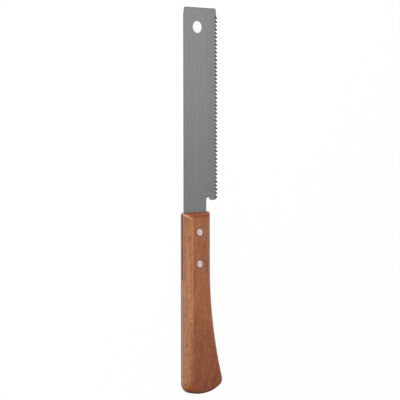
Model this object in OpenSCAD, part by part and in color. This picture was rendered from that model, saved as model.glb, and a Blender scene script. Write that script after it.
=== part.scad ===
// Flush cut saw: a thin pull-stroke blade riveted into the sawn slot of a one-piece wooden handle.
// Lengths are in mm. X runs across the blade toward the teeth, Y along the saw toward the blade tip, Z up.
// The saw lies flat on one broad face of the handle, and the origin is the bottom centre of its bounding box.

/* [Blade] */
// Length of blade in front of the handle
blade_len = 134.8; // [115:0.2:160]
// Width from the back edge to the tooth tips
blade_w = 28.8; // [27:0.1:34]
// Thickness of the blade sheet
blade_thk = 0.45; // [0.3:0.05:0.8]
// How far the toothed edge is cut back at the tip
tip_setback = 1.8; // [1.2:0.05:3]
// How far the back edge is cut away at the tip
tip_relief = 0.9; // [0.2:0.05:2]
// Length of the cut-away stretch of the back edge
tip_relief_len = 4.2; // [2:0.1:10]
// Diameter of the hanging hole
hole_d = 7.9; // [5:0.1:10]
// Hanging hole centre from the back edge
hole_from_back = 11.65; // [9:0.05:16]
// Hanging hole centre from the tip
hole_from_tip = 12.95; // [9:0.05:20]

/* [Teeth] */
// Distance between tooth tips, about ten teeth to the inch
tooth_pitch = 2.53; // [2:0.01:3.2]
// Angle between the two flanks of a gullet
tooth_angle = 60; // [50:1:70]
// Lean of the cutting flank, which faces the handle because the saw cuts on the pull stroke
tooth_rake = 14; // [5:1:25]
// Angle at which each gullet is filed across the blade, left and right in turn
fleam = 20; // [0:1:30]
// First tooth tip from the blade tip
first_tooth = 6.75; // [5:0.05:12]
// Cut-back of the plain stretch between the first tooth and the blade tip
lead_setback = 1; // [0.5:0.05:1.1]

/* [Tang] */
// Width of the tang from the back edge
tang_w = 18.9; // [17:0.1:20]
// Length of the tang inside the handle
tang_len = 43; // [40:0.5:48]
// Gap between the heel of the blade and the handle
heel_gap = 7.5; // [5:0.1:12]
// Width of the sloping corner between the last tooth and the heel
heel_bevel = 2.6; // [1:0.1:3]
// Length of that slope along the blade, which clips the last tooth
heel_rise = 2.2; // [1.5:0.1:2.6]
// Radius of the relief notch between the heel and the tang
relief_r = 1.65; // [1:0.05:2.2]

/* [Handle] */
// Length of the handle
handle_len = 120.6; // [112:0.1:140]
// Width of the straight stretch
handle_w = 22; // [21:0.1:26]
// Thickness between the broad faces
handle_t = 11.5; // [10:0.1:16]
// Chamfer along the four long edges and around the back corner of the butt
chamfer = 4; // [2:0.1:4.4]
// Length of the bevel across each broad face at the front end
front_bevel = 3.5; // [2:0.1:6]
// Thickness left between the two bevels at the front edge
nose_t = 1.2; // [0.9:0.1:3]
// How far the front edge slopes back toward the back of the handle
front_slant = 1.1; // [0.5:0.1:2]
// Radius of the two front corners, seen on the broad face
front_corner_r = 0.6; // [0.4:0.1:2]
// How far the back of the handle stands behind the back edge of the blade
back_margin = 1.25; // [0.5:0.05:1.6]
// Length of the straight stretch before the flare
flare_start = 37.2; // [25:0.2:60]
// Radius of the hollow flare toward the butt
flare_r = 265; // [225:1:400]
// Radius of the butt end
butt_r = 27.8; // [26:0.2:40]
// Lowest point of the butt, from the back edge of the blade
butt_low = 10.9; // [8:0.1:13]
// Radius of the butt corner at the back
butt_back_r = 7; // [6:0.5:9]
// Radius of the butt corner at the tip of the flare
butt_flare_r = 3.4; // [2:0.1:4]
// Radius of the line that the butt chamfer follows, flatter than the butt so that it fades toward the flare
butt_bevel_r = 60; // [50:1:90]
// Round-over of the edges of the butt end, where the chamfer has faded
butt_round = 3; // [2:0.1:3.5]

/* [Rivets] */
// Diameter of the rivet shank
rivet_d = 4; // [3:0.1:5]
// How far a formed head spreads beyond the shank
head_spread = 0.25; // [0.1:0.05:0.5]
// Height of the spread part of a head
head_h = 0.8; // [0.5:0.1:1.5]
// Depth of each head below the broad face
head_sink = 0.05; // [0.02:0.01:0.2]
// Diameter of the punched dimple in each head
dimple_d = 1.3; // [0.8:0.1:2]
// Depth of the dimple
dimple_depth = 0.35; // [0.1:0.05:0.6]
// Rivet centres from the back edge of the blade
rivet_from_back = 9.2; // [8:0.1:11]
// Front rivet from the front end of the handle
rivet_front = 13.9; // [10:0.1:18]
// Distance between the rivets
rivet_pitch = 20.9; // [16:0.1:23]

/* [Fits] */
// Free space on each side of the tang in its slot
slot_clearance = 0.05; // [0.02:0.01:0.15]
// Free slot length behind the end of the tang
slot_room = 2; // [1:0.5:6]
// Free space around the rivet shank
rivet_clearance = 0.05; // [0.02:0.01:0.15]
// Gap between a rivet head and the mouth of its countersink
head_gap = 0.15; // [0.05:0.05:0.4]

/* [Hidden] */
$fn = 96;

// Overshoot of cutters past the faces they open
over = 1;
// How far a rounding disc stands past the edges that it joins, so that the edges cross it cleanly
lap = 0.02;

steel = [0.53, 0.53, 0.53];
wood = [0.61, 0.38, 0.27];
rivet_metal = [0.78, 0.78, 0.77];

half_t = handle_t / 2;
back_x = -back_margin;
front_x = back_x + handle_w;
rivet_x = rivet_from_back;
rivet_ys = [-rivet_front, -rivet_front - rivet_pitch];

// Teeth: the gullet is an upright triangle of the two flank angles, one pitch wide
front_run = tan(tooth_rake);
back_run = tan(tooth_angle - tooth_rake);
// Filing across the blade widens each tooth on one face, so the gullets go this much deeper
fleam_drop = blade_thk * tan(fleam) / (front_run + back_run);
tooth_h = tooth_pitch / (front_run + back_run) + fleam_drop;
first_tip_y = blade_len - first_tooth;
min_heel_rise = 0.8;
gullets = floor((first_tip_y - heel_gap - min_heel_rise) / tooth_pitch);

// Handle outline: directions of its edges and centres of its arcs
function unit(v) = v / norm(v);
function across(v) = [-v[1], v[0]];
function bearing(v) = atan2(v[1], v[0]);
front_out = across(unit([handle_w, front_slant]));
function front_y(x) = (x - front_x) * front_slant / handle_w;
flare_c = [front_x + flare_r - lap, -flare_start];
butt_c = [butt_low, butt_r - handle_len];
back_fillet_x = back_x + butt_back_r - lap;
back_reach = butt_r - butt_back_r + lap;
back_fillet_c = [back_fillet_x, butt_c[1] - sqrt(pow(back_reach, 2) - pow(back_fillet_x - butt_low, 2))];
back_turn = unit(back_fillet_c - butt_c);
butt_bevel_c = butt_c - (butt_bevel_r - butt_r) * back_turn;
// The flare-tip disc touches the flare from inside the wood and the butt from inside its circle
to_butt = butt_c - flare_c;
flare_reach = flare_r + butt_flare_r - lap;
butt_reach = butt_r - butt_flare_r + lap;
along = (pow(flare_reach, 2) - pow(butt_reach, 2) + pow(norm(to_butt), 2)) / (2 * norm(to_butt));
aside = sqrt(pow(flare_reach, 2) - pow(along, 2));
flare_fillet_c = flare_c + along * unit(to_butt) + aside * across(unit(to_butt));

// Placement of the bottom centre of the bounding box at the origin
right_x = max(flare_fillet_c[0] + butt_flare_r, blade_w);
mid = [(back_x + right_x) / 2, (blade_len - handle_len) / 2];

module placed() {
    translate([-mid[0], -mid[1], half_t]) children();
}

module disc(centre, r) {
    translate(centre) circle(r);
}

// Blade

module blade_outline() {
    difference() {
        polygon([
            [0, -tang_len],
            [tang_w, -tang_len],
            [tang_w, heel_gap],
            [blade_w - heel_bevel, heel_gap],
            [blade_w, heel_gap + heel_rise],
            [blade_w, first_tip_y],
            [blade_w - lead_setback, first_tip_y + lead_setback * back_run],
            [blade_w - tip_setback, blade_len],
            [tip_relief, blade_len],
            [0, blade_len - tip_relief_len],
        ]);
        disc([hole_from_back, blade_len - hole_from_tip], hole_d / 2);
        disc([tang_w + relief_r, heel_gap], relief_r);
        for (y = rivet_ys) disc([rivet_x, y], rivet_d / 2 + rivet_clearance);
    }
}

// Gullet below the tooth tip at y = 0, filed across the blade at the given angle
module gullet(file_angle) {
    reach = tooth_h + over;
    bottom_y = -tooth_h * front_run + fleam_drop * front_run;
    shear = [
        [1, 0, 0, 0],
        [0, 1, tan(file_angle), 0],
        [0, 0, 1, 0],
    ];
    multmatrix(shear)
        linear_extrude(blade_thk + 2 * over, center = true)
            translate([blade_w - tooth_h, bottom_y])
                polygon([[0, 0], [reach, reach * front_run], [reach, -reach * back_run]]);
}

module blade() {
    color(steel) placed() difference() {
        linear_extrude(blade_thk, center = true) blade_outline();
        for (i = [0 : gullets - 1])
            translate([0, first_tip_y - i * tooth_pitch, 0])
                gullet(i % 2 == 0 ? fleam : -fleam);
    }
}

// Handle

// Sharp corner left outside a rounding disc, between two directions from its centre
module corner_cut(centre, r, from, to) {
    reach = 2 * r + 8;
    difference() {
        polygon([centre, centre + reach * from, centre + reach * to]);
        disc(centre, r);
    }
}

module handle_outline() {
    inset = front_corner_r - lap;
    back_side_x = back_x + inset;
    tooth_side_x = front_x - inset;
    drop = inset / front_out[1];
    to_flare = unit(flare_c - flare_fillet_c);
    flare_turn = unit(flare_fillet_c - butt_c);
    difference() {
        intersection() {
            polygon([
                [back_x, front_y(back_x)],
                [front_x, 0],
                [front_x, -flare_start],
                [right_x + over, -flare_start],
                [right_x + over, -handle_len - over],
                [back_x, -handle_len - over],
            ]);
            union() {
                disc(butt_c, butt_r);
                translate([butt_low - butt_r, butt_c[1]]) square([2 * butt_r, over - butt_c[1]]);
            }
        }
        disc(flare_c, flare_r, $fn = 720);
        corner_cut([back_side_x, front_y(back_side_x) - drop], front_corner_r, [-1, 0], front_out);
        corner_cut([tooth_side_x, front_y(tooth_side_x) - drop], front_corner_r, front_out, [1, 0]);
        corner_cut(flare_fillet_c, butt_flare_r, to_flare, flare_turn);
        corner_cut(back_fillet_c, butt_back_r, back_turn, [-1, 0]);
    }
}

// Section of a chamfer cutter: the edge to remove is at x = 0 and y = half_t, with the wood at x > 0
module chamfer_section() {
    polygon([[-over, half_t - chamfer - over], [chamfer + over, half_t + over], [-over, half_t + over]]);
}

module straight_chamfer(length) {
    translate([0, over, 0]) rotate([90, 0, 0]) linear_extrude(length + over) chamfer_section();
}

module flare_chamfer() {
    lead = 2;
    sweep = 24;
    translate(flare_c) rotate([0, 0, 180 - lead])
        rotate_extrude(angle = lead + sweep, $fn = 720) translate([flare_r, 0]) chamfer_section();
}

// Chamfer cutter along an arc that bulges out of the wood, between two bearings from its centre
module arc_chamfer(centre, r, start, end) {
    translate(centre) rotate([0, 0, start])
        rotate_extrude(angle = (end - start + 360) % 360, $fn = 360)
            translate([r, 0]) mirror([1, 0]) chamfer_section();
}

// Chamfer around the back corner of the butt and on along its end, and the round-over that it fades into
module butt_edge() {
    lead = 3;
    run_out = 12;
    turn = bearing(back_turn);
    inset = butt_round - lap;
    arc_chamfer(back_fillet_c, butt_back_r, 180, turn);
    arc_chamfer(butt_bevel_c, butt_bevel_r, turn - lead, bearing(flare_fillet_c - butt_bevel_c) + run_out);
    translate(butt_c) rotate([0, 0, turn])
        rotate_extrude(angle = bearing(flare_fillet_c - butt_c) + run_out - turn)
            translate([butt_r - inset, half_t - inset]) difference() {
                square(butt_round + over);
                circle(butt_round);
            }
}

module front_bevel_cut() {
    nose_z = nose_t / 2;
    ease = over * front_bevel / (half_t - nose_z);
    translate([back_x - over, 0, 0]) rotate([90, 0, 90])
        linear_extrude(handle_w + 2 * over)
            polygon([[ease, nose_z - over], [ease, half_t + over], [-front_bevel - ease, half_t + over]]);
}

module rivet_bore() {
    mouth_r = rivet_d / 2 + head_spread + head_gap;
    bore_r = rivet_d / 2 + rivet_clearance;
    cylinder(r = bore_r, h = handle_t + 2 * over, center = true);
    for (side = [0, 1]) mirror([0, 0, side])
        translate([0, 0, half_t - head_h]) cylinder(r1 = bore_r, r2 = mouth_r, h = head_h);
}

module tang_slot() {
    slot_w = blade_thk + 2 * slot_clearance;
    slot_len = tang_len + slot_room;
    translate([back_x - over, -slot_len, -slot_w / 2]) cube([handle_w + 2 * over, slot_len + over, slot_w]);
}

module handle() {
    color(wood) placed() difference() {
        linear_extrude(handle_t, center = true) handle_outline();
        for (side = [0, 1]) mirror([0, 0, side]) {
            translate([back_x, 0, 0]) straight_chamfer(handle_len + over);
            translate([front_x, 0, 0]) mirror([1, 0, 0]) straight_chamfer(flare_start);
            flare_chamfer();
            butt_edge();
            front_bevel_cut();
        }
        tang_slot();
        for (y = rivet_ys) translate([rivet_x, y, 0]) rivet_bore();
    }
}

// Rivets: solid pins with both ends spread into the countersinks and a dimple from the setting punch

module rivet(y) {
    shank_r = rivet_d / 2;
    head_r = shank_r + head_spread;
    top = half_t - head_sink;
    edge = 0.2;
    color(rivet_metal) placed() translate([rivet_x, y, 0]) rotate_extrude() polygon([
        [0, top - dimple_depth],
        [dimple_d / 2, top],
        [head_r - edge, top],
        [head_r, top - edge],
        [shank_r, half_t - head_h],
        [shank_r, head_h - half_t],
        [head_r, edge - top],
        [head_r - edge, -top],
        [dimple_d / 2, -top],
        [0, dimple_depth - top],
    ]);
}

module front_rivet() {
    rivet(rivet_ys[0]);
}

module rear_rivet() {
    rivet(rivet_ys[1]);
}

blade();
handle();
front_rivet();
rear_rivet();
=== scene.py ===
"""Flush cut saw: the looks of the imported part, built around its CAD nodes.

Lengths are in metres, in the CAD frame: X across the blade toward the teeth, Y along the saw toward the
blade tip, Z up. The saw lies on one broad face of its handle, on a pale floor.
"""

import math

import bmesh
import bpy
from mathutils import Matrix, Vector


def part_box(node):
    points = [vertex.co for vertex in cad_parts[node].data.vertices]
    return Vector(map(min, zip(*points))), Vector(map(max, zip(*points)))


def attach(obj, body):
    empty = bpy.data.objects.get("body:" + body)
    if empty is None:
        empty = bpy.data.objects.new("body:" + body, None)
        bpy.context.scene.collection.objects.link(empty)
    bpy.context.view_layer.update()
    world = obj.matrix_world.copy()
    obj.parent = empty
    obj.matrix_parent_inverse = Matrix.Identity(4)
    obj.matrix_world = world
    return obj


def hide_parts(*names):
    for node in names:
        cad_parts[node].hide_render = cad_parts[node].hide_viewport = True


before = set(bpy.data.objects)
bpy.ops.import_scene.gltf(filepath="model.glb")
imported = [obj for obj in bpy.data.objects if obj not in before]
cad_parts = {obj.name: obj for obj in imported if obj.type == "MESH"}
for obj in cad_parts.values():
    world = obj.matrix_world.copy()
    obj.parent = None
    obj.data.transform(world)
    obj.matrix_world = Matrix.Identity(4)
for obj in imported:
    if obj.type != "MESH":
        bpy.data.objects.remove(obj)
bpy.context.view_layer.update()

MM = 0.001

# Handle sizes
HANDLE_W = 22 * MM
CHAMFER = 4 * MM
FRONT_BEVEL = 3.5 * MM
NOSE_T = 1.2 * MM
FRONT_SLANT = 1.1 * MM
FRONT_CORNER_R = 0.6 * MM
FLARE_START = 37.2 * MM
FLARE_R = 265 * MM
BUTT_R = 27.8 * MM
BUTT_LOW = 10.9 * MM
BUTT_BACK_R = 7 * MM
BUTT_FLARE_R = 3.4 * MM
BUTT_BEVEL_R = 60 * MM
BUTT_ROUND = 3 * MM
SLOT_CLEARANCE = 0.05 * MM
SLOT_ROOM = 2 * MM

# Rounding of the long arrises: crisp along the grip and worn soft near the butt
ARRIS_R = 2.6 * MM
WORN_ARRIS_R = 4 * MM
SIDE_ARRIS_R = 1.5 * MM
FRONT_ARRIS_R = 0.8 * MM
WORN_FROM = 55 * MM
WORN_FULL = 112 * MM

# Points along the handle's outline
FRONT_CORNER_STEPS = 8
SIDE_STEPS = 44
BACK_CORNER_STEPS = 14
BUTT_STEPS = 26
FLARE_CORNER_STEPS = 10
STRAIGHT_STEPS = 14
FIRST_STEP = 1 * MM

# Rivet sizes
RIVET_R = 2 * MM
RIVET_CLEARANCE = 0.05 * MM
HEAD_SPREAD = 0.25 * MM
HEAD_H = 0.8 * MM
HEAD_GAP = 0.08 * MM
HEAD_SINK = 0.05 * MM
HEAD_EDGE = 0.12 * MM
DIMPLE_R = 0.65 * MM
DIMPLE_DEPTH = 0.35 * MM

# Room that cutters reach past the faces they open
OVER = 1 * MM

# Tooth line on the blade
TOOTH_DEPTH = 2.1 * MM
FIRST_TOOTH = 6.75 * MM

# Wood grain: it leans over toward the butt, where its figure is also stronger
LEAN_FROM = 45 * MM
LEAN_CURVE = 3.0
FIGURE_FULL = 80 * MM
RING_SPACING = 2.6 * MM
PITH_X = -4.4 * MM
PITH_Z = -30 * MM
PITH_TILT = math.radians(3.5)

# Places that the CAD nodes give
handle_low, handle_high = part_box("handle")
blade_low, blade_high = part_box("blade")
back_x = handle_low.x
side_x = back_x + HANDLE_W
front_y = handle_high.y
butt_y = handle_low.y
half_t = (handle_high.z - handle_low.z) / 2
mid_z = handle_low.z + half_t
blade_thk = blade_high.z - blade_low.z
slot_half = blade_thk / 2 + SLOT_CLEARANCE
slot_end_y = blade_low.y - SLOT_ROOM

# Camera, fitted to the photograph's viewing angle
VIEW_YAW = math.radians(38.72)
VIEW_PITCH = math.radians(-0.291)
VIEW_ROLL = math.radians(-0.087)
VIEW_DISTANCE = 1588.3 * MM
VIEW_LENS = 216
VIEW_SENSOR = 36
AIM = Vector((blade_low.x + 13.758 * MM, front_y + 7.417 * MM, mid_z))


def srgb(red, green, blue):
    """Linear colour, with alpha, of a display colour given as three values from 0 to 255."""

    def linear(value):
        value = value / 255
        return value / 12.92 if value <= 0.04045 else ((value + 0.055) / 1.055) ** 2.4

    return (linear(red), linear(green), linear(blue), 1.0)


def smooth(value):
    """Smooth step from 0 to 1."""
    value = min(max(value, 0.0), 1.0)
    return value * value * (3 - 2 * value)


def soft_max(a, b, ease):
    """Larger of two values, with a soft change between them where they differ by less than ease."""
    near = max(ease - abs(a - b), 0.0)
    return max(a, b) + (near ** 2 / (4 * ease) if near else 0.0)


def steps(start, end, count):
    """Evenly spaced values from start up to, but not at, end."""
    return [start + (end - start) * i / count for i in range(count)]


def toward(angle):
    """2D vector of length 1 at an angle."""
    return Vector((math.cos(angle), math.sin(angle)))


def direction(vector):
    """Angle of a 2D vector, from 0 to a full turn."""
    return math.atan2(vector.y, vector.x) % math.tau


def arc(centre, radius, start, end, count):
    return [centre + radius * toward(angle) for angle in steps(start, end, count)]


def new_object(name, mesh):
    piece = bpy.data.objects.new(name, mesh)
    bpy.context.scene.collection.objects.link(piece)
    return piece


def mesh_of(name, points, faces):
    """Mesh with outward normals, from points and lists of point numbers."""
    mesh = bpy.data.meshes.new(name)
    mesh.from_pydata(points, [], faces)
    shape = bmesh.new()
    shape.from_mesh(mesh)
    bmesh.ops.recalc_face_normals(shape, faces=shape.faces)
    shape.to_mesh(mesh)
    shape.free()
    return mesh


# Handle


def bevel_inset(height, start, run, arris_r):
    """How far a bevelled side stands in at a height from the mid-plane, with the bevel's arrises rounded.

    The bevel leaves the upright side at the start height and runs in by a length up to the broad face.
    """
    side_r = min(arris_r, SIDE_ARRIS_R)
    lean = math.atan(run / (half_t - start))
    lower = side_r * math.tan(lean / 2)
    upper = arris_r * math.tan((math.pi / 2 - lean) / 2)
    if height <= start - lower:
        return 0.0
    if height < start + lower * math.cos(lean):
        return side_r - math.sqrt(side_r ** 2 - (height - start + lower) ** 2)
    if height <= half_t - upper * math.cos(lean):
        return (height - start) * math.tan(lean)
    return run + upper - math.sqrt(max(arris_r ** 2 - (height - half_t + arris_r) ** 2, 0.0))


def chamfer_inset(height, arris_r):
    """How far a long side stands in at a height from the mid-plane."""
    return bevel_inset(height, half_t - CHAMFER, CHAMFER, arris_r)


def round_inset(height, radius):
    """How far the butt end stands in at a height from the mid-plane: a quarter-round edge."""
    rise = height - (half_t - radius)
    if rise <= 0:
        return 0.0
    return radius - math.sqrt(max(radius ** 2 - rise ** 2, 0.0))


def softness_at(y):
    """How soft the long arrises are worn at a place along the handle, from 0 to 1."""
    return smooth((front_y - y - WORN_FROM) / (WORN_FULL - WORN_FROM))


def arris_at(y):
    """Radius of the long arrises at a place along the handle."""
    return ARRIS_R + (WORN_ARRIS_R - ARRIS_R) * softness_at(y)


def front_drop(x, height):
    """How far the front end stands behind its foremost point: a sloping edge with a bevel on each face."""
    slope = FRONT_SLANT * (side_x - x) / HANDLE_W
    return slope + bevel_inset(height, NOSE_T / 2, FRONT_BEVEL, FRONT_ARRIS_R)


def butt_inset(angle, height):
    """How far the butt end stands in from its arc, at an angle along it from the back corner.

    The chamfer follows a flatter arc than the butt, so it fades toward the flare into a round-over.
    """
    widest_blend = 1 * MM
    blend_within = 0.25
    chamfer = chamfer_inset(height, WORN_ARRIS_R)
    offset = BUTT_BEVEL_R - BUTT_R
    along = offset * math.cos(angle)
    bevel_reach = math.sqrt((BUTT_BEVEL_R - chamfer) ** 2 - offset ** 2 + along ** 2) - along
    ease = min(angle / blend_within, 1) * min(chamfer, widest_blend)
    return soft_max(BUTT_R - bevel_reach, round_inset(height, BUTT_ROUND), ease)


def butt_centre():
    """Centre of the butt end's arc, seen from above."""
    return Vector((blade_low.x + BUTT_LOW, butt_y + BUTT_R))


def flare_centre():
    """Centre of the arc that the tooth side flares out along, seen from above."""
    return Vector((side_x + FLARE_R, front_y - FLARE_START))


def back_corner():
    """Centre of the corner between the back and the butt end, seen from above."""
    x = back_x + BUTT_BACK_R
    drop = math.sqrt((BUTT_R - BUTT_BACK_R) ** 2 - (x - butt_centre().x) ** 2)
    return Vector((x, butt_centre().y - drop))


def back_turn():
    """Direction from the butt end's centre in which its arc meets the back corner."""
    return direction(back_corner() - butt_centre())


def flare_corner(height, extra):
    """Centre of the corner between butt end and flare at a height, and its angle along the butt end.

    The inset of the butt end depends on the angle, so the two are worked out in turns.
    """
    turns = 4
    first_guess = math.radians(44)
    to_butt = butt_centre() - flare_centre()
    ahead = to_butt.normalized()
    inset = chamfer_inset(height, WORN_ARRIS_R) + extra
    flare_reach = FLARE_R + inset + BUTT_FLARE_R
    angle = first_guess
    for _ in range(turns):
        butt_reach = BUTT_R - butt_inset(angle, height) - extra - BUTT_FLARE_R
        along = (flare_reach ** 2 - butt_reach ** 2 + to_butt.length ** 2) / (2 * to_butt.length)
        aside = math.sqrt(flare_reach ** 2 - along ** 2)
        centre = flare_centre() + along * ahead + aside * Vector((-ahead.y, ahead.x))
        angle = direction(centre - butt_centre()) - back_turn()
    return centre, angle


def back_points(height, extra, start_y):
    """Points down the back, from the front corner to the corner of the butt end."""
    places = [start_y] + steps(start_y - FIRST_STEP, back_corner().y, SIDE_STEPS)
    return [Vector((back_x + chamfer_inset(height, arris_at(y)) + extra, y)) for y in places]


def butt_points(height, extra):
    """Points round the back corner, the butt end and the corner of the flare."""
    corner_r = BUTT_BACK_R - (chamfer_inset(height, WORN_ARRIS_R) + extra)
    tip, tip_angle = flare_corner(height, extra)
    tip_turn = direction(flare_centre() - tip) + math.tau
    points = arc(back_corner(), corner_r, math.pi, back_turn(), BACK_CORNER_STEPS)
    for angle in steps(0, tip_angle, BUTT_STEPS):
        reach = BUTT_R - butt_inset(angle, height) - extra
        points.append(butt_centre() + reach * toward(back_turn() + angle))
    return points + arc(tip, BUTT_FLARE_R, back_turn() + tip_angle, tip_turn, FLARE_CORNER_STEPS)


def tooth_side_points(height, extra, end_y):
    """Points up the tooth side: along the flare, then straight to the front corner."""
    centre = flare_centre()
    tip, _ = flare_corner(height, extra)
    points = []
    for angle in steps(direction(centre - tip) + math.pi, math.pi, SIDE_STEPS):
        out = toward(angle)
        inset = chamfer_inset(height, arris_at(centre.y + FLARE_R * out.y)) + extra
        points.append(centre + (FLARE_R + inset) * out)
    straight_x = side_x - (chamfer_inset(height, ARRIS_R) + extra)
    return points + [Vector((straight_x, y)) for y in steps(centre.y, end_y, STRAIGHT_STEPS)]


def handle_outline(height, extra=0.0):
    """Closed outline of the handle at a height from its mid-plane, seen from above, pulled in by extra."""
    corner_growth = 0.3
    inset = chamfer_inset(height, ARRIS_R) + extra
    corner_r = FRONT_CORNER_R + corner_growth * inset

    def front_point(x):
        return Vector((x, front_y - front_drop(x, height) - extra))

    back_front = front_point(back_x + inset + corner_r) - Vector((0, corner_r))
    tooth_front = front_point(side_x - inset - corner_r) - Vector((0, corner_r))
    points = arc(back_front, corner_r, math.pi / 2, math.pi, FRONT_CORNER_STEPS)
    points += back_points(height, extra, back_front.y)
    points += butt_points(height, extra)
    points += tooth_side_points(height, extra, tooth_front.y)
    points += arc(tooth_front, corner_r, 0, math.pi / 2, FRONT_CORNER_STEPS)
    points += [front_point(tooth_front.x), front_point(back_front.x + FIRST_STEP)]
    return points


def handle_heights():
    """Heights above the mid-plane at which the handle is sliced, closest together at the arrises."""
    span = 0.25 * MM
    flat_steps = 8
    span_steps = 4
    chamfer_steps = 16
    flat = half_t - CHAMFER
    heights = steps(0, flat - span, flat_steps)
    heights += [flat + span * i / span_steps for i in range(-span_steps, span_steps + 1)]
    for i in range(chamfer_steps - 1, -1, -1):
        heights.append(half_t - (CHAMFER - span) * (i / chamfer_steps) ** 3)
    return heights


def edge_wear_and_highlight(y, inset):
    """Wear and a painted highlight along the long arrises, which start behind the front bevel and fade
    toward the butt.
    """
    most = 0.33
    middle = CHAMFER + 0.4 * MM
    half_width = 0.8 * MM
    start_length = 3 * MM
    on_edge = 1 - smooth(abs(inset - middle) / half_width)
    behind_bevel = smooth((front_y - y - FRONT_BEVEL) / start_length)
    return most * on_edge * behind_bevel * (1 - softness_at(y))


def corner_wear_and_highlight(x, y, above, inset):
    """Wear and a painted highlight at the front corner of the back, both weaker near the broad faces."""
    width = 0.6 * MM
    loss = 0.7
    loss_from = 3 * MM
    loss_length = 2 * MM
    from_side = x - back_x - inset
    from_end = front_y - front_drop(x, above) - y
    corner = 1 - smooth((max(from_side, from_end) - FRONT_CORNER_R) / width)
    return corner * (1 - loss * smooth((above - loss_from) / loss_length))


def wear_and_highlight_at(x, y, z):
    """How worn and painted-highlit a point of the handle is, from 0 to 1."""
    above = abs(z - mid_z)
    inset = chamfer_inset(above, ARRIS_R)
    return max(edge_wear_and_highlight(y, inset), corner_wear_and_highlight(x, y, above, inset))


def handle_body():
    """The solid handle: outlines at each height, joined by walls and closed by the two broad faces.

    Its arris attribute says how worn and painted-highlit each point is, apart from the rims of the broad
    faces.
    """
    rim = 0.5 * MM
    levels = [(mid_z + height, handle_outline(height)) for height in handle_heights()]
    levels.append((mid_z + half_t, handle_outline(half_t, rim)))
    levels = [(2 * mid_z - z, outline) for z, outline in reversed(levels[1:])] + levels
    count = len(levels[0][1])
    points = [(p.x, p.y, z) for z, outline in levels for p in outline]
    faces = [list(range(count)), [len(points) - count + i for i in range(count)]]
    for level in range(len(levels) - 1):
        low = level * count
        for i in range(count):
            after = (i + 1) % count
            faces.append([low + i, low + after, low + count + after, low + count + i])
    mesh = mesh_of("handle_body", points, faces)
    on_rim = [0.0] * count
    # The arris attribute holds real edge wear together with a painted highlight.
    wear_and_highlight = [wear_and_highlight_at(*point) for point in points[count:-count]]
    mesh.attributes.new("arris", "FLOAT", "POINT").data.foreach_set("value", on_rim + wear_and_highlight + on_rim)
    return mesh


def box_mesh(name, low, high):
    corners = [(x, y, z) for x in (low.x, high.x) for y in (low.y, high.y) for z in (low.z, high.z)]
    faces = [[0, 1, 3, 2], [4, 6, 7, 5], [0, 4, 5, 1], [2, 3, 7, 6], [0, 2, 6, 4], [1, 5, 7, 3]]
    return mesh_of(name, corners, faces)


def lathe_mesh(name, profile, centre, count=64):
    """Solid turned about the Z axis through centre, from (radius, height) pairs whose ends lie on it."""
    points = [(centre.x, centre.y, centre.z + height) for _, height in (profile[0], profile[-1])]
    rings = profile[1:-1]
    for radius, height in rings:
        for angle in steps(0, math.tau, count):
            points.append((
                centre.x + radius * math.cos(angle),
                centre.y + radius * math.sin(angle),
                centre.z + height,
            ))
    last = 2 + (len(rings) - 1) * count
    faces = []
    for i in range(count):
        after = (i + 1) % count
        faces.append([0, 2 + i, 2 + after])
        faces.append([1, last + after, last + i])
        for ring in range(len(rings) - 1):
            low = 2 + ring * count
            faces.append([low + i, low + count + i, low + count + after, low + after])
    return mesh_of(name, points, faces)


def rivet_centres():
    """Centre of each rivet, from the boxes of the CAD nodes."""
    centres = {}
    for name in ("front_rivet", "rear_rivet"):
        low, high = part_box(name)
        centres[name] = (low + high) / 2
    return centres


def bore_profile():
    """Half section of the hole for a rivet, with a countersink at each end."""
    bore = RIVET_R + RIVET_CLEARANCE
    mouth = RIVET_R + HEAD_SPREAD + HEAD_GAP
    widen = (mouth - bore) / HEAD_H
    upper = [(bore, half_t - HEAD_H), (mouth + widen * OVER, half_t + OVER), (0, half_t + OVER)]
    lower = [(radius, -height) for radius, height in reversed(upper)]
    return lower + upper


def cut(piece, mesh):
    """Takes a cutter mesh away from a piece."""
    cutter = new_object("cutter", mesh)
    modifier = piece.modifiers.new("cut", "BOOLEAN")
    modifier.operation = "DIFFERENCE"
    modifier.solver = "EXACT"
    modifier.object = cutter
    graph = bpy.context.evaluated_depsgraph_get()
    result = bpy.data.meshes.new_from_object(piece.evaluated_get(graph))
    piece.modifiers.clear()
    piece.data = result
    bpy.data.objects.remove(cutter)


def shade(piece, sharp_angle):
    """Smooth shading, with sharp edges past an angle in degrees."""
    piece.data.shade_smooth()
    piece.data.set_sharp_from_angle(angle=math.radians(sharp_angle))


def keep_flats(piece):
    """Shades flat faces as flat, beside rounded arrises too."""
    weighted = piece.modifiers.new("weighted", "WEIGHTED_NORMAL")
    weighted.keep_sharp = True


def make_handle():
    piece = new_object("wooden_handle", handle_body())
    slot_low = Vector((back_x - OVER, slot_end_y, mid_z - slot_half))
    slot_high = Vector((side_x + OVER, front_y + OVER, mid_z + slot_half))
    cut(piece, box_mesh("slot", slot_low, slot_high))
    for centre in rivet_centres().values():
        cut(piece, lathe_mesh("bore", bore_profile(), centre))
    shade(piece, sharp_angle=32)
    keep_flats(piece)
    return piece


# Rivets


def rivet_profile():
    """Half section of a rivet: shank, spread heads with eased rims, and a dimple from the setting punch."""
    edge_steps = 6
    dimple_steps = 8
    top = half_t - HEAD_SINK
    head = RIVET_R + HEAD_SPREAD
    upper = [(RIVET_R, top - HEAD_H)]
    for angle in steps(0, math.pi / 2, edge_steps):
        upper.append((head - HEAD_EDGE * (1 - math.cos(angle)), top - HEAD_EDGE * (1 - math.sin(angle))))
    upper.append((head - HEAD_EDGE, top))
    for i in range(dimple_steps + 1):
        radius = DIMPLE_R * (1 - i / dimple_steps)
        depth = DIMPLE_DEPTH * (1 - math.cos(math.pi * i / dimple_steps)) / 2
        upper.append((radius, top - depth))
    lower = [(radius, -height) for radius, height in reversed(upper)]
    return lower + upper


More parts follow.
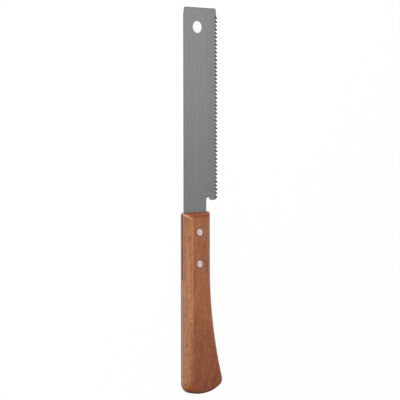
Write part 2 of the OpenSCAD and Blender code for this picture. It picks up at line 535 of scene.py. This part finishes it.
def make_rivets():
    pieces = {}
    for name, centre in rivet_centres().items():
        pieces[name] = new_object("set_" + name, lathe_mesh(name, rivet_profile(), centre))
        shade(pieces[name], sharp_angle=40)
        keep_flats(pieces[name])
    return pieces


# Materials


class Finish:
    """A procedural material on the standard surface shader, with short calls for the nodes that feed it.

    The colour is built up by laying one feature after another over the base.
    """

    def __init__(self, name):
        self.material = bpy.data.materials.new(name)
        self.material.use_nodes = True
        self.tree = self.material.node_tree
        self.shader = self.tree.nodes["Principled BSDF"]
        place = self.tree.nodes.new("ShaderNodeTexCoord")
        self.position = place.outputs["Object"]
        self.x, self.y, self.z = self.split(self.position)
        self.normal_x, self.normal_y, self.normal_z = self.split(place.outputs["Normal"])
        self.colour = None

    def add(self, kind, inputs, **settings):
        made = self.tree.nodes.new(kind)
        for name, value in settings.items():
            setattr(made, name, value)
        for key, value in inputs.items():
            self.feed(made.inputs[key], value)
        return made

    def feed(self, socket, value):
        if isinstance(value, bpy.types.NodeSocket):
            self.tree.links.new(value, socket)
        else:
            socket.default_value = value

    def set(self, **values):
        names = {name.lower().replace(" ", "_"): name for name in self.shader.inputs.keys()}
        for name, value in values.items():
            self.feed(self.shader.inputs[names[name]], value)

    def math(self, operation, a, b=0.0, clamp=False):
        return self.add("ShaderNodeMath", {0: a, 1: b}, operation=operation, use_clamp=clamp).outputs[0]

    def total(self, first, *others):
        for other in others:
            first = self.math("ADD", first, other)
        return first

    def product(self, first, *others):
        for other in others:
            first = self.math("MULTIPLY", first, other)
        return first

    def split(self, vector):
        return self.add("ShaderNodeSeparateXYZ", {0: vector}).outputs

    def placed(self, scale, turn=(0, 0, 0), shift=(0, 0, 0)):
        """Position on the piece, scaled on each axis, in steps per metre."""
        inputs = {"Vector": self.position, "Scale": scale, "Rotation": turn, "Location": shift}
        return self.add("ShaderNodeMapping", inputs).outputs[0]

    def noise(self, vector, detail=2.0, roughness=0.5):
        inputs = {"Vector": vector, "Scale": 1.0, "Detail": detail, "Roughness": roughness}
        return self.add("ShaderNodeTexNoise", inputs).outputs[0]

    def cells(self, vector, **settings):
        """Cell pattern: distance from the middle of the cell, and two random numbers for each cell."""
        made = self.add("ShaderNodeTexVoronoi", {"Vector": vector, "Scale": 1.0}, **settings)
        first, second, _ = self.split(made.outputs["Color"])
        return made.outputs["Distance"], first, second

    def remap(self, value, low, high, to_low=0.0, to_high=1.0):
        """Smooth ramp from to_low, where the value is low, to to_high, where it is high."""
        inputs = {"Value": value, "From Min": low, "From Max": high, "To Min": to_low, "To Max": to_high}
        return self.add("ShaderNodeMapRange", inputs, interpolation_type="SMOOTHSTEP").outputs[0]

    def spread(self, noise, to_low, to_high):
        """Noise, of which most lies between 0.3 and 0.7, spread out over another range."""
        return self.remap(noise, 0.3, 0.7, to_low, to_high)

    def mix(self, share, a, b, blend="MIX"):
        inputs = {0: share, 6: a, 7: b}
        return self.add("ShaderNodeMix", inputs, data_type="RGBA", blend_type=blend).outputs[2]

    def lay(self, share, colour):
        """Lays a colour over the one so far."""
        self.colour = self.mix(share, self.colour, colour)

    def tint(self, share, colour):
        """Tints the colour so far."""
        self.colour = self.mix(share, self.colour, colour, "MULTIPLY")

    def bump(self, height, distance, strength):
        inputs = {"Height": height, "Distance": distance, "Strength": strength}
        self.feed(self.shader.inputs["Normal"], self.add("ShaderNodeBump", inputs).outputs[0])

    def off_middle(self):
        """Distance from the saw's mid-plane."""
        return self.math("ABSOLUTE", self.math("SUBTRACT", self.z, mid_z))

    def behind_front(self):
        """Distance behind the handle's sloping front edge."""
        slope = self.product(self.math("SUBTRACT", side_x, self.x), FRONT_SLANT / HANDLE_W)
        return self.math("SUBTRACT", self.math("SUBTRACT", front_y, self.y), slope)


class WoodFinish(Finish):
    """Oiled reddish hardwood of the handle."""

    deep = srgb(112, 60, 36)
    end_grain = srgb(110, 36, 4)

    def __init__(self):
        super().__init__("oiled_hardwood")
        self.sideways = self.math("ABSOLUTE", self.normal_x)
        self.chamfer = self.remap(self.sideways, 0.3, 0.6)
        self.off_centre = self.off_middle()
        self.from_front = self.behind_front()
        self.near_butt = self.behind(LEAN_FROM, FIGURE_FULL)
        self.figure = self.math("MAXIMUM", self.chamfer, self.product(self.near_butt, 0.9))
        self.position = self.leaning_grain()
        self.fibre = self.noise(self.placed((1700, 260, 1700)), 4.0, 0.62)
        self.hair = self.noise(self.placed((3600, 260, 3600)), 3.0, 0.6)
        self.fleck = self.flecks()

    def behind(self, start, end, to_low=0.0, to_high=1.0):
        """Ramp along the handle, between two distances behind its foremost point."""
        return self.remap(self.y, front_y - start, front_y - end, to_low, to_high)

    def before_butt(self, start, end, to_low=0.0, to_high=1.0):
        """Ramp along the handle, between two distances from its butt end."""
        return self.remap(self.y, butt_y + start, butt_y + end, to_low, to_high)

    def across(self, start, end, to_low=0.0, to_high=1.0):
        """Ramp across the handle, between two distances from its back."""
        return self.remap(self.x, back_x + start, back_x + end, to_low, to_high)

    def plan_distance(self, place):
        """Distance from a place, seen from above."""
        here = self.add("ShaderNodeCombineXYZ", {0: self.x, 1: self.y}).outputs[0]
        inputs = {0: here, 1: (place.x, place.y, 0)}
        return self.add("ShaderNodeVectorMath", inputs, operation="DISTANCE").outputs["Value"]

    def leaning_grain(self):
        """Position in the grain, which runs straight along the grip and curves aside toward the butt."""
        below = self.math("MAXIMUM", self.math("SUBTRACT", front_y - LEAN_FROM, self.y), 0.0)
        aside = self.product(below, below, LEAN_CURVE)
        inputs = {0: self.total(self.x, aside), 1: self.y, 2: self.z}
        return self.add("ShaderNodeCombineXYZ", inputs).outputs[0]

    def growth_rings(self):
        """Dark wood of growth rings round a pith line that runs slightly across the handle."""
        drift_reach = 2.5 * RING_SPACING
        x, _, z = self.split(self.placed((1, 1, 1), (PITH_TILT, 0, 0), (-PITH_X, 0, -PITH_Z)))
        radius = self.math("SQRT", self.total(self.product(x, x), self.product(z, z)))
        drift = self.noise(self.placed((70, 14, 70)))
        drifted = self.total(radius, self.product(drift, drift_reach))
        wave = self.math("SINE", self.product(drifted, math.tau / RING_SPACING))
        return self.remap(wave, 0.3, 1.0)

    def flecks(self):
        """Short flecks, in some of the cells of a stretched pattern."""
        distance, chance, _ = self.cells(self.placed((1000, 300, 1000)))
        return self.product(self.remap(distance, 0.48, 0.14), self.remap(chance, 0.5, 0.62))

    def pores(self):
        """Open pores, in most of the cells of a coarse flat pattern."""
        place = self.placed((300, 160, 0), shift=(0.5, 2.0, 0))
        distance, _, chance = self.cells(place, voronoi_dimensions="2D")
        return self.product(self.remap(chance, 0.3, 0.35), self.remap(distance, 0.24, 0.1))

    def fine_figure(self, blotch):
        """Blotches, fibres, hairs and streaks, stronger on the chamfers and toward the butt."""
        streak = self.noise(self.placed((1000, 60, 1000), shift=(2, 6, 4)))
        fine = self.total(
            self.spread(blotch, -0.03, 0.03),
            self.spread(self.fibre, -0.15, 0.15),
            self.spread(self.hair, -0.1, 0.1),
            self.spread(streak, -0.08, 0.08),
        )
        return self.product(fine, self.remap(self.figure, 0.0, 1.0, 1.1, 1.8))

    def lay_grain(self):
        """Base colour: slow patches that are palest at the back, growth rings and the fine figure."""
        middle = srgb(157, 95, 65)
        pale = srgb(182, 122, 80)
        tan = srgb(170, 118, 70)
        pale_from, pale_to = 0.5 * MM, 5 * MM
        ring_depth = 0.07
        patch = self.noise(self.placed((120, 40, 120), shift=(3, 1, 7)), 3.0, 0.55)
        blotch = self.noise(self.placed((480, 260, 480), shift=(5, 2, 1)), 3.0, 0.6)
        tone = self.total(
            self.remap(patch, 0.25, 0.75, 0.48, 0.58),
            self.across(pale_from, pale_to, 0.05, 0.0),
            self.fine_figure(blotch),
        )
        tone = self.math("SUBTRACT", tone, self.product(self.growth_rings(), ring_depth), clamp=True)
        self.colour = self.mix(self.remap(tone, 0.0, 0.5), self.deep, middle)
        self.lay(self.remap(tone, 0.45, 1.0), pale)
        self.lay(self.remap(blotch, 0.5, 0.75, 0.0, 0.25), tan)

    def lay_flecks(self):
        """Dark flecks all over, and pores on the back chamfer near the butt."""
        dark = srgb(92, 46, 28)
        pores_from, pores_full = 2.8 * MM, 1.8 * MM
        self.lay(self.product(self.fleck, self.remap(self.figure, 0.0, 1.0, 0.12, 0.32)), dark)
        outer = self.across(pores_from, pores_full, 0.0, 0.6)
        self.lay(self.product(self.pores(), outer, self.chamfer, self.near_butt), dark)

    def lay_heartwood_and_shade(self):
        """Darker and redder wood toward the butt, partly the heartwood's colour and partly painted shade,
        which spreads over the chamfer there.
        """
        heart_and_shade = (0.77, 0.65, 0.64, 1.0)
        start_y, full_y = front_y - 42 * MM, butt_y + 5 * MM
        start_x, full_x = back_x + 2.4 * MM, back_x + 5.6 * MM
        spread_start_y, spread_full_y = front_y - 80 * MM, butt_y + 10 * MM
        spread_width = 1.6 * MM
        spread_x = self.total(self.x, self.remap(self.y, spread_start_y, spread_full_y, 0.0, spread_width))
        along = self.remap(self.y, start_y, full_y)
        # Part of this darkening toward the butt is painted shade, as if the light fell off there.
        self.tint(self.product(along, self.remap(spread_x, start_x, full_x)), heart_and_shade)

    def lay_sides(self):
        """A yellower chamfer, and painted shade on the tooth side, darker and greyer, weaker toward the
        butt.
        """
        chamfer = (0.98, 1.0, 0.86, 1.0)
        tooth_side_shade = (0.72, 0.76, 0.78, 1.0)
        tooth_shade_end, tooth_shade_full = 90 * MM, 60 * MM
        self.tint(self.chamfer, chamfer)
        along = self.behind(tooth_shade_end, tooth_shade_full, 0.3, 1.0)
        # Painted shade on the tooth side, which faces away from the side light.
        self.tint(self.product(along, self.remap(self.normal_x, 0.1, 0.5)), tooth_side_shade)

    def lay_sheen_and_film(self):
        """Painted sheen, pale grey, on the narrow sides, most on their lower half, and a thin film along
        the back chamfer.
        """
        side_sheen = srgb(153, 132, 116)
        film = srgb(102, 98, 84)
        sheen_top, sheen_full = mid_z + 1.6 * MM, mid_z - 0.8 * MM
        film_width = 3.6 * MM
        film_start, film_full = 35 * MM, 60 * MM
        film_end, film_fade = 10 * MM, 26 * MM
        low_side = self.remap(self.z, sheen_top, sheen_full, 0.2, 0.65)
        # Painted sheen: pale grey on the narrow sides, standing for the pale surroundings they mirror.
        self.lay(self.product(low_side, self.remap(self.sideways, 0.78, 0.97)), side_sheen)
        film_share = self.product(
            self.behind(film_start, film_full, 0.5, 1.0),
            self.before_butt(film_end, film_fade, 0.5, 1.0),
            self.across(film_width, 0.0, 0.0, 0.15),
            self.remap(self.normal_x, -0.3, -0.6),
        )
        self.lay(film_share, film)

    def lay_wear_and_highlight(self):
        """Pale worn arrises and front corner with a painted highlight, where the mesh's arris attribute
        says.
        """
        bare_and_highlit = srgb(214, 174, 148)
        worn = self.add("ShaderNodeAttribute", {}, attribute_name="arris").outputs["Fac"]
        # Painted highlight, with pale bare wood, along the arrises and the mitre at the front corner.
        self.lay(self.product(worn, 0.72), bare_and_highlit)

    def lay_butt_rim(self):
        """A warm eased edge round the butt end with painted light on it, and a dark line of painted shade
        with its halo.
        """
        eased = srgb(190, 92, 42)
        painted_shade = srgb(56, 33, 23)
        butt_start, butt_full = 14 * MM, 10 * MM
        line_start, line_full = BUTT_R - 1.8 * MM, BUTT_R - 0.9 * MM
        halo_start, halo_full = BUTT_R - 3 * MM, BUTT_R - 1 * MM
        back_start, back_end = 6 * MM, 13 * MM
        faint_within, full_past = 1.2 * MM, 3 * MM
        at_butt = self.before_butt(butt_start, butt_full)
        endways = self.math("ABSOLUTE", self.normal_y)
        # Painted light: the eased edge is lightened where it turns away from the lamps.
        self.lay(self.product(at_butt, self.remap(endways, 0.05, 0.6, 0.0, 0.4)), eased)
        reach = self.plan_distance(butt_centre())
        # Painted shade: a dark line along the butt's rim, with a softer halo inside it.
        line = self.remap(reach, line_start, line_full, 0.0, 0.95)
        line = self.product(line, self.across(back_start, back_end, 0.75, 1.0))
        halo = self.remap(reach, halo_start, halo_full, 0.0, 0.3)
        rim = self.product(at_butt, self.math("MAXIMUM", line, halo))
        self.lay(self.product(rim, self.remap(self.off_centre, faint_within, full_past, 0.75, 1.0)), painted_shade)

    def lay_front_end(self):
        """A darker band behind the front, and a bevel with a line of stain along its top and painted shade
        along its edge.
        """
        bevel = (0.84, 0.74, 0.62, 1.0)
        painted_shade = srgb(84, 56, 42)
        band_start, band_full = 2 * MM, 3.4 * MM
        band_end, band_fade = 9 * MM, 4.5 * MM
        bevel_end, bevel_full = 4.2 * MM, 3 * MM
        top_start, top_full = 1.6 * MM, 2.4 * MM
        edge_end, edge_full = 1.8 * MM, 0.6 * MM
        faint_x, strong_x = 8 * MM, 19 * MM
        front_band = self.remap(self.from_front, band_end, band_fade, 0.0, 0.13)
        self.lay(self.product(front_band, self.remap(self.from_front, band_start, band_full)), self.end_grain)
        broad = self.math("SUBTRACT", 1.0, self.chamfer)
        on_bevel = self.product(broad, self.remap(self.from_front, bevel_end, bevel_full))
        self.tint(on_bevel, bevel)
        top = self.remap(self.from_front, top_start, top_full)
        self.lay(self.product(on_bevel, self.across(faint_x, strong_x, 0.5, 0.8), top), self.end_grain)
        # Painted shade along the front edge, where the blade enters the handle.
        self.lay(self.product(on_bevel, self.remap(self.from_front, edge_end, edge_full, 0.0, 0.6)), painted_shade)

    def lay_rivet_rings(self):
        """A darker grey-brown ring in the wood round each rivet head."""
        ring_colour = srgb(124, 101, 89)
        ring_end, ring_full = 4.6 * MM, 2.8 * MM
        for centre in rivet_centres().values():
            self.lay(self.remap(self.plan_distance(centre), ring_end, ring_full, 0.0, 0.65), ring_colour)

    def lay_slot(self):
        """Painted shade on the walls of the saw slot, and a stain beside it where the wood doesn't face
        sideways.
        """
        slot_shade = srgb(58, 28, 15)
        fade = 0.2 * MM
        stain_end, stain_full = 3.4 * MM, 2 * MM
        slot_shade_end, slot_shade_full = slot_half + 0.25 * MM, slot_half + 0.02 * MM
        at_slot = self.remap(self.y, slot_end_y - fade, slot_end_y)
        not_sideways = self.remap(self.sideways, 0.98, 0.9)
        stain = self.remap(self.off_centre, stain_end, stain_full, 0.0, 0.35)
        self.lay(self.product(at_slot, not_sideways, stain), self.deep)
        # Painted shade inside the narrow slot.
        self.lay(self.product(at_slot, self.remap(self.off_centre, slot_shade_end, slot_shade_full)), slot_shade)

    def finish_surface(self):
        """Satin oiled finish with a fine relief of fibres, hairs and sunken flecks."""
        relief_depth = 0.05 * MM
        rough = self.spread(self.fibre, 0.46, 0.6)
        self.set(base_color=self.colour, roughness=rough, specular_ior_level=0.25)
        fibres = self.total(self.fibre, self.product(self.hair, 0.5))
        self.bump(self.math("SUBTRACT", fibres, self.fleck), relief_depth, 0.5)


def wood_finish():
    """Oiled hardwood: its grain, then what years of use and the making have left on it."""
    wood = WoodFinish()
    wood.lay_grain()
    wood.lay_flecks()
    wood.lay_heartwood_and_shade()
    wood.lay_sides()
    wood.lay_sheen_and_film()
    wood.lay_wear_and_highlight()
    wood.lay_butt_rim()
    wood.lay_front_end()
    wood.lay_rivet_rings()
    wood.lay_slot()
    wood.finish_surface()
    return wood.material


class SteelFinish(Finish):
    """Brushed spring steel of the blade."""

    edge = srgb(72, 72, 74)

    def __init__(self):
        super().__init__("brushed_steel")
        tang_fade = 1 * MM
        self.brush = self.noise(self.placed((4200, 14, 4200)), 4.0, 0.65)
        self.tang = self.remap(self.behind_front(), 0.0, tang_fade)
        self.root_x = blade_high.x - TOOTH_DEPTH

    def lay_brushing(self):
        """Lengthwise scratches on a grey face, with painted shade that darkens it toward the handle."""
        face = srgb(136, 136, 136)
        scratch = srgb(121, 121, 122)
        painted_falloff = (0.84, 0.84, 0.84, 1.0)
        falloff_length = 90 * MM
        broad_brush = self.noise(self.placed((700, 5, 700)))
        self.colour = self.mix(self.remap(self.brush, 0.35, 0.7), face, scratch)
        self.lay(self.remap(broad_brush, 0.35, 0.75, 0.0, 0.3), scratch)
        # Painted shade: light falling off toward the handle.
        self.tint(self.remap(self.y, front_y + falloff_length, front_y), painted_falloff)

    def lay_edges(self):
        """Dark cut edges, and painted shade that darkens the face a little toward the teeth."""
        shade_start = blade_low.x + 15 * MM
        upright = self.math("ABSOLUTE", self.normal_z)
        self.lay(self.remap(upright, 0.98, 0.8), self.edge)
        # Painted shade across the face toward the teeth.
        self.lay(self.remap(self.x, shade_start, self.root_x, 0.0, 0.1), self.edge)

    def lay_filed_teeth(self):
        """Dark teeth from the filing, darkest with painted shade in the gullets at their roots and palest
        at their tips, from a little before the first one.
        """
        filed_and_shaded = srgb(34, 34, 35)
        root_start, root_full = self.root_x - 0.2 * MM, self.root_x + 0.3 * MM
        tip_start = self.root_x + 0.9 * MM
        first_tip_y = blade_high.y - FIRST_TOOTH
        row_start, row_full = first_tip_y + 2.2 * MM, first_tip_y + 1.2 * MM
        # Painted shade in the gullets at the roots of the teeth, over their own dark colour.
        share = self.product(
            self.remap(self.x, root_start, root_full),
            self.remap(self.x, tip_start, blade_high.x, 0.95, 0.6),
            self.remap(self.y, row_start, row_full),
        )
        self.lay(share, filed_and_shaded)

    def lay_ends(self):
        """A sheared edge at the blade's tip, and painted shade on the dull tang inside the handle."""
        tang_shade = srgb(42, 28, 20)
        sheared_start, sheared_full = blade_high.y - 0.8 * MM, blade_high.y - 0.2 * MM
        self.lay(self.remap(self.y, sheared_start, sheared_full, 0.0, 0.6), self.edge)
        # Painted shade on the tang, inside the slot.
        self.lay(self.tang, tang_shade)

    def finish_surface(self):
        """Half-bright metal with fine scratches and smudges, rougher on the tang."""
        scratch_depth = 0.01 * MM
        smudge = self.noise(self.placed((90, 40, 90)), 3.0)
        rough = self.total(
            self.spread(self.brush, 0.34, 0.46),
            self.remap(smudge, 0.4, 0.7, 0.0, 0.06),
            self.product(self.tang, 0.4),
        )
        self.set(base_color=self.colour, metallic=0.5, roughness=rough)
        self.bump(self.brush, scratch_depth, 0.5)


def steel_finish():
    """Brushed steel, with dark teeth from the filing and dark edges, and a dull tang in painted shade."""
    steel = SteelFinish()
    steel.lay_brushing()
    steel.lay_edges()
    steel.lay_filed_teeth()
    steel.lay_ends()
    steel.finish_surface()
    return steel.material


def rivet_finish():
    """Pale set aluminium: fine marks on the heads, with a duller dimple and rim."""
    bright = srgb(222, 203, 198)
    dull = srgb(116, 100, 98)
    top = half_t - HEAD_SINK
    worked_start, worked_full = top - 0.02 * MM, top - 0.12 * MM
    mark_depth = 0.02 * MM
    metal = Finish("set_aluminium")
    mark = metal.noise(metal.placed((2600, 2600, 900)), 3.0, 0.6)
    metal.colour = metal.mix(metal.remap(mark, 0.35, 0.75, 0.0, 0.4), bright, dull)
    worked = metal.remap(metal.off_middle(), worked_start, worked_full)
    metal.lay(metal.product(worked, 0.8), dull)
    metal.set(base_color=metal.colour, metallic=0.7, roughness=metal.spread(mark, 0.3, 0.46))
    metal.bump(mark, mark_depth, 0.4)
    return metal.material


def seen_as_background(tree):
    """Socket that is 1 for the rays that see a plain white background: camera, glossy and transmission."""
    paths = tree.nodes.new("ShaderNodeLightPath")
    total = paths.outputs["Is Camera Ray"]
    for name in ("Is Glossy Ray", "Is Transmission Ray"):
        larger = tree.nodes.new("ShaderNodeMath")
        larger.operation = "MAXIMUM"
        tree.links.new(total, larger.inputs[0])
        tree.links.new(paths.outputs[name], larger.inputs[1])
        total = larger.outputs[0]
    return total


def floor_finish():
    """Pale floor that shows as white and keeps a faint shadow of the saw."""
    plain = 0.975
    material = bpy.data.materials.new("pale_floor")
    material.use_nodes = True
    tree = material.node_tree
    shader = tree.nodes["Principled BSDF"]
    shader.inputs["Base Color"].default_value = srgb(244, 244, 244)
    shader.inputs["Roughness"].default_value = 0.9
    glow = tree.nodes.new("ShaderNodeEmission")
    share = tree.nodes.new("ShaderNodeMath")
    share.operation = "MULTIPLY"
    share.inputs[1].default_value = plain
    tree.links.new(seen_as_background(tree), share.inputs[0])
    blend = tree.nodes.new("ShaderNodeMixShader")
    tree.links.new(share.outputs[0], blend.inputs[0])
    tree.links.new(shader.outputs[0], blend.inputs[1])
    tree.links.new(glow.outputs[0], blend.inputs[2])
    tree.links.new(blend.outputs[0], tree.nodes["Material Output"].inputs["Surface"])
    return material


# Studio


def make_floor():
    reach = 4.0
    drop = 0.05 * MM
    plan = [(-reach, -reach), (reach, -reach), (reach, reach), (-reach, reach)]
    floor = new_object("floor", mesh_of("floor", [(x, y, -drop) for x, y in plan], [[0, 1, 2, 3]]))
    floor.data.materials.append(floor_finish())


def make_world():
    """White where it is seen or mirrored, and a weak even light otherwise."""
    ambient = 0.25
    world = bpy.data.worlds.new("studio")
    bpy.context.scene.world = world
    world.use_nodes = True
    tree = world.node_tree
    background = tree.nodes["Background"]
    background.inputs["Color"].default_value = (1, 1, 1, 1)
    level = tree.nodes.new("ShaderNodeMapRange")
    level.inputs["To Min"].default_value = ambient
    level.inputs["To Max"].default_value = 1.0
    tree.links.new(seen_as_background(tree), level.inputs["Value"])
    tree.links.new(level.outputs[0], background.inputs["Strength"])


def area_light(name, place, size, power):
    """Round soft light that shines on the middle of the saw."""
    lamp = bpy.data.lights.new(name, "AREA")
    lamp.shape = "DISK"
    lamp.size = size
    lamp.energy = power
    light = bpy.data.objects.new(name, lamp)
    bpy.context.scene.collection.objects.link(light)
    light.location = place
    light.rotation_euler = (-Vector(place)).to_track_quat("-Z", "Y").to_euler()


def make_lights():
    area_light("side", place=(-0.6, -0.05, 0.3), size=0.5, power=2.7)
    area_light("top", place=(-0.1, 0.5, 0.4), size=0.35, power=3.2)


def make_camera():
    lens = bpy.data.cameras.new("view")
    lens.lens = VIEW_LENS
    lens.sensor_width = VIEW_SENSOR
    camera = bpy.data.objects.new("view", lens)
    bpy.context.scene.collection.objects.link(camera)
    camera.matrix_world = (
        Matrix.Translation(AIM)
        @ Matrix.Rotation(-VIEW_YAW, 4, "Y")
        @ Matrix.Rotation(-VIEW_PITCH, 4, "X")
        @ Matrix.Rotation(VIEW_ROLL, 4, "Z")
        @ Matrix.Translation((0, 0, VIEW_DISTANCE))
    )
    bpy.context.scene.camera = camera


def dress(piece, material):
    piece.data.materials.clear()
    piece.data.materials.append(material)


bpy.context.scene.view_settings.view_transform = "Standard"
make_camera()
make_world()
make_lights()
make_floor()

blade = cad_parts["blade"]
shade(blade, sharp_angle=15)
dress(blade, steel_finish())

handle = make_handle()
dress(handle, wood_finish())
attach(handle, "root")
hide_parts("handle")

rivet_material = rivet_finish()
for node, piece in make_rivets().items():
    dress(piece, rivet_material)
    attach(piece, "root")
    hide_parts(node)
